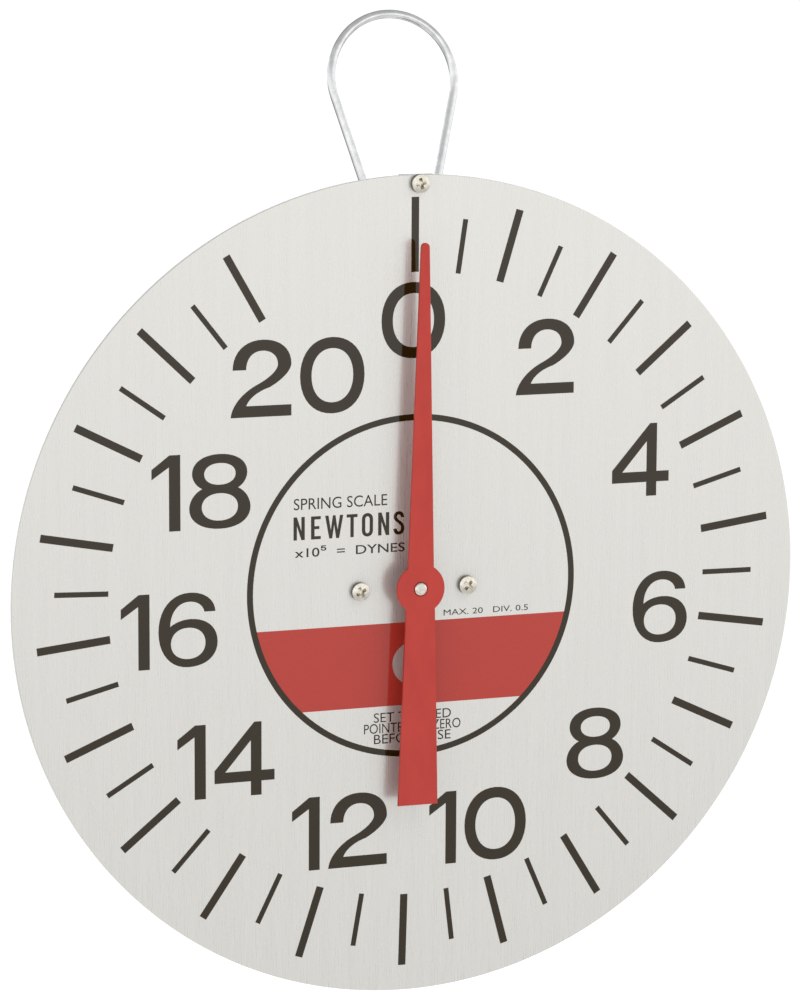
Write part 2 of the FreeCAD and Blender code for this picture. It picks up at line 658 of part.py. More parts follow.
def rack_yoke():
    """Carriage plate with a window round the shaft and a neck up to the spring."""
    body = new_body("rack_yoke")
    seat = "SpringTop - SpringTurns * SpringPitch - 2 * (SpringWire + SpringSeat)"
    neck_top = seat + " - PlugFlangeThick"
    slab(body, "-YokeHalf", "YokeHalf", "YokeFoot", "YokeHead", "YokeFront", "YokeBack")
    slab(body, "-NeckHalf", "NeckHalf", "WindowHead", neck_top, "YokeFront", "YokeBack")
    sketch = new_sketch(body, "XZ_Plane", "-YokeFront")
    box_outline(sketch, "-WindowLeft", "RackEdge", "WindowFoot", "WindowHead")
    pocket(body, sketch, "YokeBack - YokeFront")
    drill_z(body, "RodRadius", "YokeFoot", "RodTop")
    drill_z(body, "StudRadius", f"{neck_top} - StudLong", neck_top)
    for up in ("WindowFoot + RivetInset", "WindowHead - RivetInset"):
        sketch = new_sketch(body, "YZ_Plane", "YokeHalf")
        circle(sketch, "RivetRadius", "PivotBehind", up)
        pocket(body, sketch, "YokeHalf - RackEdge")


def rack():
    """Brass rack, module 0.8, its teeth facing the pinion."""
    body = new_body("rack")
    pitch = dim["GearModule"] * dim["PinionTeeth"] / 2
    step = math.pi * dim["GearModule"]
    tip, root = dim["RackTip"] * dim["GearModule"], dim["RackRoot"] * dim["GearModule"]
    foot, head = dim["WindowFoot"], dim["WindowHead"]
    slab(body, "GearModule * (PinionTeeth / 2 + RackRoot)", "RackEdge", "WindowFoot",
         "WindowHead", "RackFront", "RackBack")
    slope = math.tan(math.radians(dim["PressureAngle"]))
    centres = [step * (n + 0.5) for n in range(-20, 20)]
    room = step / 4 + root * slope
    inside = [c for c in centres if foot + room < c < head - room]
    half = step / 4 - dim["Backlash"]
    heel = pitch + root + dim["ToothSink"]
    first = inside[0]
    sketch = new_sketch(body, "XZ_Plane", "-RackFront")
    spots = [V(heel, first - half - root * slope, 0),
             V(pitch + root, first - half - root * slope, 0),
             V(pitch - tip, first - half + tip * slope, 0),
             V(pitch - tip, first + half - tip * slope, 0),
             V(pitch + root, first + half + root * slope, 0),
             V(heel, first + half + root * slope, 0)]
    for a, b in zip(spots, spots[1:] + spots[:1]):
        sketch.addGeometry(Part.LineSegment(a, b))
    for n in range(len(spots)):
        sketch.addConstraint(Constraint("Coincident", n, 2, (n + 1) % len(spots), 1))
    tooth = pad(body, sketch, "RackBack - RackFront", away=True)
    row = body.newObject("PartDesign::LinearPattern", "rack_teeth")
    row.Originals = [tooth]
    row.Direction = (sketch, ["V_Axis"])
    row.Length = step * (len(inside) - 1)
    row.Occurrences = len(inside)
    body.Tip = row
    doc.recompute()
    for up in ("WindowFoot + RivetInset", "WindowHead - RivetInset"):
        sketch = new_sketch(body, "YZ_Plane", "RackEdge")
        circle(sketch, "RivetRadius", "PivotBehind", up)
        pocket(body, sketch, "RivetSink")


def rack_rivets():
    """Two rivets through the yoke's edge that hold the rack."""
    body = new_body("rack_rivet")
    sketch = new_sketch(body, "YZ_Plane", "RackEdge - RivetSink")
    circle(sketch, "RivetRadius", "PivotBehind", "0")
    pad(body, sketch, "YokeHalf - RackEdge + RivetSink")
    ends = (dim["WindowFoot"] + dim["RivetInset"], dim["WindowHead"] - dim["RivetInset"])
    copies("rack_rivets", body, [FreeCAD.Placement(V(0, 0, z), FreeCAD.Rotation()) for z in ends])


def load_rod():
    body = new_body("load_rod")
    post(body, "RodRadius", "RodFoot", "RodTop")


def rod_nuts():
    """Two thin hexagon nuts that lock the rod in the yoke and in the fork."""
    body = new_body("rod_nut")
    sketch = new_sketch(body, "XY_Plane", "ForkTop")
    corner = "NutAcrossFlats / sqrt(3)"
    ring = [(f"{corner} * cos({60 * n + 30})", f"PivotBehind + {corner} * sin({60 * n + 30})")
            for n in range(6)]
    outline(sketch, ring)
    circle(sketch, "RodRadius", "0", "PivotBehind")
    pad(body, sketch, "NutTall")
    lift = dim["YokeFoot"] - dim["NutTall"] - dim["ForkTop"]
    copies("rod_nuts", body, [FreeCAD.Placement(V(0, 0, z), FreeCAD.Rotation())
                              for z in (0, lift)])


def rod_guide():
    """Nylon bush in the bottom cap and the rubber buffer that lies on it."""
    body = new_body("rod_bush")
    top = "CapTall - CaseHalfTall"
    post(body, "GuideRadius", "-CaseHalfTall", top, bore="RodRadius + SlideGap")
    post(body, "GuideFlange", top, top + " + GuideFlangeThick", bore="RodRadius + SlideGap")
    body = new_body("buffer_washer")
    seat = top + " + GuideFlangeThick"
    post(body, "GuideFlange", seat, seat + " + BufferThick", bore="RodRadius + BufferGap")


def overload_stop():
    """Collar pinned on the rod that meets the buffer just past full scale."""
    body = new_body("overload_stop")
    post(body, "StopRadius", "StopFoot", "StopTop", bore="RodRadius")
    round_edges(body, "0.5", lambda e: on_circle(e, dim["StopRadius"]), "Chamfer")


def hook_fork():
    """Fork on the rod's end, slotted for the load hook's eye."""
    body = new_body("hook_fork")
    post(body, "ForkRadius", "ForkFoot", "ForkTop")
    drill_z(body, "RodRadius", "RodFoot", "ForkTop")
    sketch = new_sketch(body, "YZ_Plane")
    box_outline(sketch, "PivotBehind - SlotWidth / 2", "PivotBehind + SlotWidth / 2",
                "ForkFoot - 1", "ForkRoof")
    pocket(body, sketch, "3 * ForkRadius", both=True)
    drill_y(body, "HookPinRadius", "PivotBehind - ForkRadius", "PivotBehind + ForkRadius",
            "0", "HookPinUp")


def hook_pin():
    body = new_body("hook_pin")
    disc(body, "HookPinRadius", "PivotBehind - HookPinLong / 2",
         "PivotBehind + HookPinLong / 2", "0", "HookPinUp")


def load_hook():
    """Wire hook: an eye round the fork's pin, a slanting shank and a round bowl."""
    body = new_body("load_hook")
    drop = dim["HookPinUp"] - dim["BowlUp"]
    bowl = dim["BowlRadius"]
    meet = math.acos(bowl / drop)
    level = dim["BowlUp"]
    leave = V(-bowl * math.sin(meet), level + bowl * math.cos(meet), 0)
    path = new_sketch(body, "XZ_Plane", "-PivotBehind")
    tip = path.addGeometry(Part.LineSegment(V(bowl, level + dim["HookTip"], 0), V(bowl, level, 0)))
    round_bowl = Part.Circle(V(0, level, 0), V(0, 0, 1), bowl)
    turn = path.addGeometry(Part.ArcOfCircle(round_bowl, math.pi / 2 + meet, 2 * math.pi))
    shank = path.addGeometry(Part.LineSegment(leave, V(0, dim["HookPinUp"] - 2.5, 0)))
    path.addConstraint(Constraint("Coincident", tip, 2, turn, 2))
    path.addConstraint(Constraint("Coincident", turn, 1, shank, 1))
    bind(path, "BowlRadius", "Radius", turn)
    wire = new_sketch(body, "XY_Plane", "BowlUp + HookTip")
    circle(wire, "HookWire", "BowlRadius", "PivotBehind")
    pipe = body.newObject("PartDesign::AdditivePipe", "hook_pipe")
    pipe.Profile = wire
    pipe.Spine = path
    doc.recompute()
    disc(body, "EyeRadius", "PivotBehind - EyeThick / 2", "PivotBehind + EyeThick / 2",
         "0", "HookPinUp")
    drill_y(body, "HookPinRadius + PinGap", "PivotBehind - EyeThick / 2",
            "PivotBehind + EyeThick / 2", "0", "HookPinUp")


# ---------------------------------------------------------------------- build and write

for build in (hanging_bail, dial_plate, dial_screws, pointer, pointer_hub, pinion_shaft,
              pinion, shaft_collar, friction_washer, bridge_plate, bearings, rear_housing,
              top_cap, bottom_cap, case_screws, rack_guide, main_spring, spring_plugs,
              rack_yoke, rack, rack_rivets, load_rod, rod_nuts, rod_guide, overload_stop,
              hook_fork, hook_pin, load_hook):
    build()
doc.recompute()

for item in doc.Objects:
    assert not {"Invalid", "Error"} & set(item.State), f"{item.Label}: {item.State}"
for piece in pieces:
    assert not piece.Shape.isNull() and piece.Shape.isValid(), piece.Label
    assert piece.Shape.Solids, piece.Label + " has no solid"

os.makedirs("parts", exist_ok=True)
for piece in pieces:
    piece.Shape.exportStep(f"parts/{piece.Label}.step")
    print(piece.Label, len(piece.Shape.Solids), round(piece.Shape.Volume, 1))
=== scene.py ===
import json
import math

import bmesh
import bpy
from mathutils import Matrix, Vector


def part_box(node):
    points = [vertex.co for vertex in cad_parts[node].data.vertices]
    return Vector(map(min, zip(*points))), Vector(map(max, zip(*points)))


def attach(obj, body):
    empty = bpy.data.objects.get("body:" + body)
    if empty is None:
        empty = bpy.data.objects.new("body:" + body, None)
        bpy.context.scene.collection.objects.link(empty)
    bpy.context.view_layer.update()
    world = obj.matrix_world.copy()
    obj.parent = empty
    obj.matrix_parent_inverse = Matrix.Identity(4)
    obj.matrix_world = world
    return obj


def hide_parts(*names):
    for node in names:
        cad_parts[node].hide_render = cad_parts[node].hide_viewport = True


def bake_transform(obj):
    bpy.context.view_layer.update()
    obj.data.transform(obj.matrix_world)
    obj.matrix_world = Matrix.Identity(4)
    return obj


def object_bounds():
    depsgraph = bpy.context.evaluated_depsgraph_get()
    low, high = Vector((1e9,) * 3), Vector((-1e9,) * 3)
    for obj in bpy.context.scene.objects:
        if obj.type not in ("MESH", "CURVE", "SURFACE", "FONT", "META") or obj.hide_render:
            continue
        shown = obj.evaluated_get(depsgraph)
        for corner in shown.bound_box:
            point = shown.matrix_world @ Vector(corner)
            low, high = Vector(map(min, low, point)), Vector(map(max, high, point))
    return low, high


# A hanging dial force scale. The dial's front face is the plane that everything is laid out from:
# x to the right, z up and "out" towards the reader, all in millimetres from the pointer's axis.

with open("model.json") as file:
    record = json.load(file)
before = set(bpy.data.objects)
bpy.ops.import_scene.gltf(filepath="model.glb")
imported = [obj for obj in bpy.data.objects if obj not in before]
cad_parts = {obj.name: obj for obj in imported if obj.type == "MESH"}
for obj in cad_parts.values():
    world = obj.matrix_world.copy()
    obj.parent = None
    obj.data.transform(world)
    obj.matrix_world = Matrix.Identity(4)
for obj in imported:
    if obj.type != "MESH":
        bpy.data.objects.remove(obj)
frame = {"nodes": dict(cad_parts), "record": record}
cad_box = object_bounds()

MM = 0.001

dial_low, dial_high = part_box("dial_plate")
shaft_low, shaft_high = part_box("pinion_shaft")
DIAL_RADIUS = (dial_high.x - dial_low.x) / 2 / MM
DIAL_THICK = (dial_high.y - dial_low.y) / MM
DIAL_CENTRE = Vector(
    ((shaft_low.x + shaft_high.x) / 2, dial_low.y, (shaft_low.z + shaft_high.z) / 2)
)
DISC_X = ((dial_low.x + dial_high.x) / 2 - DIAL_CENTRE.x) / MM  # the disc hangs a little off axis
DISC_Z = ((dial_low.z + dial_high.z) / 2 - DIAL_CENTRE.z) / MM
DIAL_AXES = (
    Matrix.Translation(DIAL_CENTRE)
    @ Matrix.Rotation(math.radians(90), 4, "X")
    @ Matrix.Scale(MM, 4)
)


def on_dial(x, z, out=0.0):
    """The place x right, z up and out towards the reader from the pointer's axis."""
    return DIAL_AXES @ Vector((x, z, out))


# ---------------------------------------------------------------- outlines

ROUNDNESS = 0.6  # how far a curve's handles reach towards its corner
CURVE_STEPS = 10


def circle(radius, x=0.0, z=0.0, count=64):
    """The points of a circle."""
    return [
        (x + radius * math.cos(math.tau * i / count), z + radius * math.sin(math.tau * i / count))
        for i in range(count)
    ]


def trace(start, *steps):
    """The points of a closed outline. A step (x, z) is a straight run to that point, and a step
    (corner x, corner z, x, z) is a round stretch that is tangent to both sides of its corner."""
    points = [Vector(start)]
    for step in steps:
        begin, end = points[-1], Vector(step[-2:])
        if len(step) == 4:
            corner = Vector(step[:2])
            out, into = begin.lerp(corner, ROUNDNESS), end.lerp(corner, ROUNDNESS)
            for i in range(1, CURVE_STEPS):
                t = i / CURVE_STEPS
                points.append(
                    begin * (1 - t) ** 3
                    + out * 3 * t * (1 - t) ** 2
                    + into * 3 * t * t * (1 - t)
                    + end * t ** 3
                )
        points.append(end)
    if (points[0] - points[-1]).length < 1e-6:
        points.pop()
    return points


def oval(low_x, high_x, low_z, high_z):
    """A closed oval that touches the four sides of a box."""
    mid_x, mid_z = (low_x + high_x) / 2, (low_z + high_z) / 2
    return trace(
        (high_x, mid_z),
        (high_x, high_z, mid_x, high_z),
        (low_x, high_z, low_x, mid_z),
        (low_x, low_z, mid_x, low_z),
        (high_x, low_z, high_x, mid_z),
    )


def box(low_x, high_x, low_z, high_z):
    """A rectangle."""
    return [(low_x, low_z), (high_x, low_z), (high_x, high_z), (low_x, high_z)]


def turned(points, degrees, x=0.0, z=0.0):
    """The outline turned clockwise about the pointer's axis and then shifted."""
    turn = Matrix.Rotation(math.radians(-degrees), 2)
    return [turn @ Vector(p) + Vector((x, z)) for p in points]


# ---------------------------------------------------------------- meshes

def link(data, name="working"):
    """A new object of this data in the scene."""
    made = bpy.data.objects.new(name, data)
    bpy.context.scene.collection.objects.link(made)
    return made


def mesh_of(curve):
    """The closed mesh of a curve: its faces and walls are joined along their edges."""
    working = link(curve)
    bpy.context.view_layer.update()
    evaluated = working.evaluated_get(bpy.context.evaluated_depsgraph_get())
    mesh = bpy.data.meshes.new_from_object(evaluated)
    bpy.data.objects.remove(working)
    bpy.data.curves.remove(curve)
    welded = bmesh.new()
    welded.from_mesh(mesh)
    bmesh.ops.remove_doubles(welded, verts=welded.verts, dist=1e-4)
    bmesh.ops.recalc_face_normals(welded, faces=welded.faces)
    welded.to_mesh(mesh)
    welded.free()
    return mesh


def flat_mesh(outlines, low, high, edge=0.0):
    """A plate between two heights above the dial. An outline inside another is a hole,
    and the plate's edges are rounded to the radius edge."""
    curve = bpy.data.curves.new("outline", "CURVE")
    curve.dimensions = "2D"
    curve.fill_mode = "BOTH"
    curve.extrude = (high - low) / 2 - edge
    curve.bevel_depth = edge
    curve.bevel_resolution = 2
    curve.offset = -edge
    for points in outlines:
        spline = curve.splines.new("POLY")
        spline.points.add(len(points) - 1)
        for point, (x, z) in zip(spline.points, points):
            point.co = (x, z, 0, 1)
        spline.use_cyclic_u = True
    mesh = mesh_of(curve)
    mesh.transform(DIAL_AXES @ Matrix.Translation((0, 0, (low + high) / 2)))
    return mesh


def solid(made, name):
    """The mesh of the faces built so far, with its normals outwards."""
    bmesh.ops.recalc_face_normals(made, faces=made.faces)
    mesh = bpy.data.meshes.new(name)
    made.to_mesh(mesh)
    made.free()
    return mesh


def piece(name, mesh, body, finish, sharp=35):
    """A visible piece that rides on a body. Edges sharper than this angle stay crisp, and faces
    that lie flat on the dial stay flat up to their rounded edges."""
    made = link(mesh, name)
    mesh.name = name
    mesh.materials.clear()
    mesh.materials.append(finish)
    mesh.shade_smooth()
    mesh.set_sharp_from_angle(angle=math.radians(sharp))
    for face in mesh.polygons:
        if abs(face.normal.y) > 0.999:
            face.use_smooth = False
    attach(made, body)
    return made


def upright_faces(mesh, finish, low, high):
    """Gives another finish to the faces that stand up from the dial between two heights."""
    mesh.materials.append(finish)
    for face in mesh.polygons:
        out = (DIAL_CENTRE.y - face.center.y) / MM
        if abs(face.normal.y) < 0.5 and low < out < high:
            face.material_index = len(mesh.materials) - 1


# ---------------------------------------------------------------- finishes

class Finish:
    """A procedural material around one Principled shader. Textures are laid out in metres."""

    def __init__(self, name, colour, **settings):
        self.material = bpy.data.materials.new(name)
        self.material.use_nodes = True
        self.nodes = self.material.node_tree.nodes
        self.links = self.material.node_tree.links
        self.shader = self.nodes["Principled BSDF"]
        self.shader.inputs["Base Color"].default_value = (*colour, 1)
        for setting, value in settings.items():
            self.shader.inputs[setting.replace("_", " ")].default_value = value
        self.place = self.nodes.new("ShaderNodeTexCoord").outputs["Object"]
        self.surface = None

    def scaled(self, size):
        """The place on the piece, measured in feature sizes in millimetres along x, y and z."""
        scale = self.nodes.new("ShaderNodeMapping")
        scale.inputs["Scale"].default_value = [1 / (s * MM) for s in size]
        self.links.new(self.place, scale.inputs["Vector"])
        return scale.outputs["Vector"]

    def noise(self, *size, detail=2.0):
        """Soft random mottling."""
        texture = self.nodes.new("ShaderNodeTexNoise")
        texture.inputs["Scale"].default_value = 1
        texture.inputs["Detail"].default_value = detail
        self.links.new(self.scaled(size), texture.inputs["Vector"])
        return texture.outputs["Fac"]

    def cells(self, *size):
        """Rounded cells, as in a hammered finish."""
        texture = self.nodes.new("ShaderNodeTexVoronoi")
        texture.feature = "SMOOTH_F1"
        texture.inputs["Scale"].default_value = 1
        texture.inputs["Smoothness"].default_value = 0.6
        self.links.new(self.scaled(size), texture.inputs["Vector"])
        return texture.outputs["Distance"]

    def ramp(self, source, *stops):
        """Maps a texture to colours or levels given at positions along it."""
        made = self.nodes.new("ShaderNodeValToRGB")
        keys = made.color_ramp.elements
        while len(keys) < len(stops):
            keys.new(0.5)
        for key, (position, level) in zip(keys, stops):
            key.position = position
            key.color = (*level, 1) if isinstance(level, tuple) else (level, level, level, 1)
        self.links.new(source, made.inputs["Fac"])
        return made.outputs["Color"]

    def mixed(self, share, first, second):
        """First where share is 0 and second where it is 1."""
        made = self.nodes.new("ShaderNodeMix")
        made.data_type = "RGBA"
        for socket, source in (("Factor_Float", share), ("A_Color", first), ("B_Color", second)):
            target = next(s for s in made.inputs if s.identifier == socket)
            self.links.new(source, target)
        return next(s for s in made.outputs if s.identifier == "Result_Color")

    def feed(self, socket, source):
        """Drives one of the shader's sockets with a texture."""
        self.links.new(source, self.shader.inputs[socket])

    def relief(self, source, depth, strength):
        """Adds relief of this depth in millimetres."""
        bump = self.nodes.new("ShaderNodeBump")
        bump.inputs["Strength"].default_value = strength
        bump.inputs["Distance"].default_value = depth * MM
        self.links.new(source, bump.inputs["Height"])
        if self.surface:
            self.links.new(self.surface, bump.inputs["Normal"])
        self.surface = bump.outputs["Normal"]
        self.links.new(self.surface, self.shader.inputs["Normal"])

    def worn_edges(self, radius):
        """A mask that is bright along outside edges, broken up by noise."""
        bevel = self.nodes.new("ShaderNodeBevel")
        bevel.inputs["Radius"].default_value = radius * MM
        flat = self.nodes.new("ShaderNodeNewGeometry").outputs["Normal"]
        facing = self.nodes.new("ShaderNodeVectorMath")
        facing.operation = "DOT_PRODUCT"
        self.links.new(bevel.outputs["Normal"], facing.inputs[0])
        self.links.new(flat, facing.inputs[1])
        edge = self.ramp(facing.outputs["Value"], (0.86, 1.0), (0.97, 0.0))
        patchy = self.ramp(self.noise(3, 3, 3, detail=4), (0.48, 0.0), (0.6, 1.0))
        both = self.nodes.new("ShaderNodeMath")
        both.operation = "MULTIPLY"
        self.links.new(edge, both.inputs[0])
        self.links.new(patchy, both.inputs[1])
        return both.outputs["Value"]


LACQUER = {"Coat_Weight": 1.0, "Coat_Roughness": 0.06}
PRINT = {"Specular_IOR_Level": 0.0, **LACQUER}


def brushed_dial():
    """Satin aluminium sheet, grained upright, under clear lacquer."""
    made = Finish("brushed_dial", (0.68, 0.67, 0.64), Metallic=0.6, Roughness=0.3, **LACQUER)
    grain = made.noise(0.35, 8, 12, detail=3)
    bands = made.noise(2.5, 40, 90, detail=2)
    fine = made.ramp(grain, (0.3, (0.655, 0.646, 0.612)), (0.7, (0.70, 0.69, 0.657)))
    wide = made.ramp(bands, (0.35, (0.668, 0.659, 0.627)), (0.65, (0.692, 0.683, 0.65)))
    share = made.ramp(made.noise(12, 12, 30), (0.3, 0.35), (0.7, 0.65))
    made.feed("Base Color", made.mixed(share, fine, wide))
    made.feed("Roughness", made.ramp(grain, (0.25, 0.25), (0.75, 0.35)))
    made.relief(grain, 0.002, 0.2)
    return made.material


def cut_edge():
    """The sheared edge of the dial sheet, duller than its faces."""
    made = Finish("cut_edge", (0.66, 0.65, 0.63), Metallic=0.15, Roughness=0.6)
    lines = made.noise(1.5, 0.15, 1.5, detail=3)
    made.feed("Base Color", made.ramp(lines, (0.3, (0.61, 0.6, 0.58)), (0.7, (0.7, 0.69, 0.67))))
    made.feed("Roughness", made.ramp(lines, (0.3, 0.5), (0.7, 0.7)))
    return made.material


def dial_ink():
    """Screen-printed ink, almost black and slightly brown."""
    made = Finish("dial_ink", (0.019, 0.011, 0.002), Roughness=0.6, **PRINT)
    speckle = made.noise(0.35, 0.35, 0.5, detail=3)
    made.feed(
        "Base Color", made.ramp(speckle, (0.3, (0.014, 0.008, 0.001)), (0.7, (0.024, 0.015, 0.003)))
    )
    made.feed("Roughness", made.ramp(speckle, (0.3, 0.42), (0.7, 0.56)))
    made.relief(speckle, 0.01, 0.3)
    return made.material


def red_print():
    """The printed red band."""
    made = Finish("red_print", (0.395, 0.034, 0.023), Roughness=0.6, **PRINT)
    speckle = made.noise(0.3, 0.3, 1.2, detail=3)
    made.feed(
        "Base Color", made.ramp(speckle, (0.3, (0.375, 0.03, 0.02)), (0.7, (0.415, 0.038, 0.026)))
    )
    made.feed("Roughness", made.ramp(speckle, (0.3, 0.45), (0.7, 0.6)))
    return made.material


def red_paint():
    """Baked enamel on the pointer, with a faint orange peel."""
    made = Finish("red_paint", (0.45, 0.03, 0.02), Roughness=0.42)
    cloud = made.noise(6, 6, 14, detail=3)
    made.feed(
        "Base Color", made.ramp(cloud, (0.3, (0.40, 0.021, 0.012)), (0.7, (0.44, 0.027, 0.016)))
    )
    made.feed("Roughness", made.ramp(made.noise(2, 2, 2, detail=3), (0.3, 0.34), (0.7, 0.48)))
    made.relief(made.noise(0.7, 0.7, 0.7), 0.02, 0.35)
    return made.material


def metal(name, dark, light, rough, patch=4.0):
    """Bare or plated metal: cloudy colour, uneven polish and a fine grain."""
    made = Finish(name, light, Metallic=1.0, Roughness=rough[0])
    cloud = made.noise(patch, patch, patch, detail=4)
    made.feed("Base Color", made.ramp(cloud, (0.3, dark), (0.7, light)))
    grain = made.noise(0.25, 0.25, 0.25, detail=3)
    made.feed("Roughness", made.ramp(grain, (0.3, rough[0]), (0.7, rough[1])))
    made.relief(grain, 0.004, 0.4)
    return made.material


def housing_enamel():
    """Grey hammered enamel on folded sheet, chipped to bare metal here and there on its edges."""
    made = Finish("housing_enamel", (0.2, 0.21, 0.22), Roughness=0.35, Coat_Weight=0.4)
    dimples = made.cells(2.0, 2.0, 2.0)
    colour = made.ramp(dimples, (0.1, (0.19, 0.2, 0.21)), (0.6, (0.225, 0.235, 0.245)))
    bare = made.ramp(made.noise(1, 1, 1), (0.3, (0.45, 0.45, 0.44)), (0.7, (0.6, 0.6, 0.58)))
    worn = made.worn_edges(0.7)
    made.feed("Base Color", made.mixed(worn, colour, bare))
    made.feed("Roughness", made.ramp(made.noise(5, 5, 5, detail=3), (0.3, 0.28), (0.7, 0.42)))
    made.feed("Metallic", worn)
    made.relief(dimples, 0.18, 0.6)
    return made.material


def cast_cap():
    """Sand-cast aluminium, tumbled and left bare."""
    made = Finish("cast_cap", (0.5, 0.5, 0.5), Metallic=0.9, Roughness=0.55)
    cloud = made.noise(5, 5, 5, detail=4)
    pits = made.noise(0.5, 0.5, 0.5, detail=3)
    made.feed("Base Color", made.ramp(cloud, (0.3, (0.42, 0.42, 0.41)), (0.7, (0.56, 0.56, 0.55))))
    made.feed("Roughness", made.ramp(pits, (0.3, 0.45), (0.7, 0.68)))
    made.relief(pits, 0.08, 0.5)
    return made.material


def nylon():
    """Moulded white nylon, a little translucent."""
    made = Finish("nylon", (0.78, 0.76, 0.7), Roughness=0.42, Subsurface_Weight=0.1)
    made.shader.inputs["Subsurface Radius"].default_value = (0.002, 0.0018, 0.0015)
    cloud = made.noise(3, 3, 3, detail=3)
    made.feed("Base Color", made.ramp(cloud, (0.3, (0.72, 0.7, 0.63)), (0.7, (0.8, 0.78, 0.72))))
    made.feed("Roughness", made.ramp(made.noise(0.6, 0.6, 0.6), (0.3, 0.36), (0.7, 0.5)))
    made.relief(made.noise(0.4, 0.4, 0.4), 0.02, 0.3)
    return made.material


def rubber():
    """Black moulded rubber."""
    made = Finish("rubber", (0.03, 0.03, 0.03), Roughness=0.75)
    bloom = made.noise(1.5, 1.5, 1.5, detail=4)
    made.feed(
        "Base Color", made.ramp(bloom, (0.3, (0.02, 0.02, 0.021)), (0.7, (0.05, 0.049, 0.047)))
    )
    made.feed("Roughness", made.ramp(bloom, (0.3, 0.65), (0.7, 0.85)))
    made.relief(made.noise(0.3, 0.3, 0.3), 0.03, 0.4)
    return made.material


FINISHES = {
    "brushed_dial": brushed_dial(),
    "red_paint": red_paint(),
    "zinc_wire": metal("zinc_wire", (0.68, 0.70, 0.71), (0.86, 0.865, 0.86), (0.12, 0.26), patch=3),
    "nickel_screw": metal(
        "nickel_screw", (0.66, 0.62, 0.54), (0.84, 0.80, 0.72), (0.1, 0.22), patch=1.2
    ),
    "plated_steel": metal("plated_steel", (0.5, 0.51, 0.53), (0.68, 0.68, 0.67), (0.28, 0.46)),
    "brass": metal("brass", (0.52, 0.36, 0.14), (0.78, 0.6, 0.28), (0.22, 0.42), patch=3),
    "spring_steel": metal("spring_steel", (0.34, 0.33, 0.32), (0.5, 0.49, 0.47), (0.25, 0.4)),
    "housing_enamel": housing_enamel(),
    "cast_cap": cast_cap(),
    "nylon": nylon(),
    "rubber": rubber(),
}
# Dark nickel for the screw heads' side walls: painted shade, standing in for the dark crescent of
# shadow and dark reflection round each head.
SCREW_SIDE_SHADE = metal("painted_shade_nickel", (0.1, 0.085, 0.065), (0.26, 0.23, 0.19), (0.2, 0.4), patch=1)
CUT_EDGE = cut_edge()
INK = dial_ink()
RED_PRINT = red_print()


def dress_cad_nodes():
    """Every CAD piece that stays visible gets the finish of its own slot."""
    for row in frame["record"]["subparts"]:
        node = frame["nodes"][row["node"]]
        node.data.materials.clear()
        node.data.materials.append(FINISHES[row["material_slot"]])


# ---------------------------------------------------------------- dial and its print

DIAL_EDGE, DIAL_BORE, SCREW_HOLE = 0.2, 5.5, 1.85  # radii
INK_LOW, INK_HIGH = -0.01, 0.03
SCREWS = ((-20.95, -1.0, 28), (20.95, -1.0, 51), (1.5, 147.85, 12))  # x, z and the cross's turn
SWEEP = 330.0  # degrees from nought to full load
FULL_LOAD = 20  # newtons
TICK_FOOT = 116.31
LONG_TICK, SHORT_TICK = (143.56, 2.9), (136.29, 1.95)  # outer radius and width
TICKS_DROP = 0.62
RING_RADIUS, RING_WIDTH = 62.83, 2.3
RING_X, RING_Z = -0.2, -0.4
BAND_TOP, BAND_FOOT = -13.7, -44.8
PLAIN_MARK = 8.0  # radius of the round spot left bare in the band

NUMERALS = {
    0: (-0.5, 98.1), 2: (51.3, 82.6), 4: (90.2, 42.0), 6: (99.0, -14.4),
    8: (73.3, -65.1), 10: (26.2, -92.8), 12: (-28.4, -90.7), 14: (-72.2, -60.5),
    16: (-93.5, -11.0), 18: (-81.35, 39.15), 20: (-44.76, 79.3),
}
DIGIT_GAP = 3.3

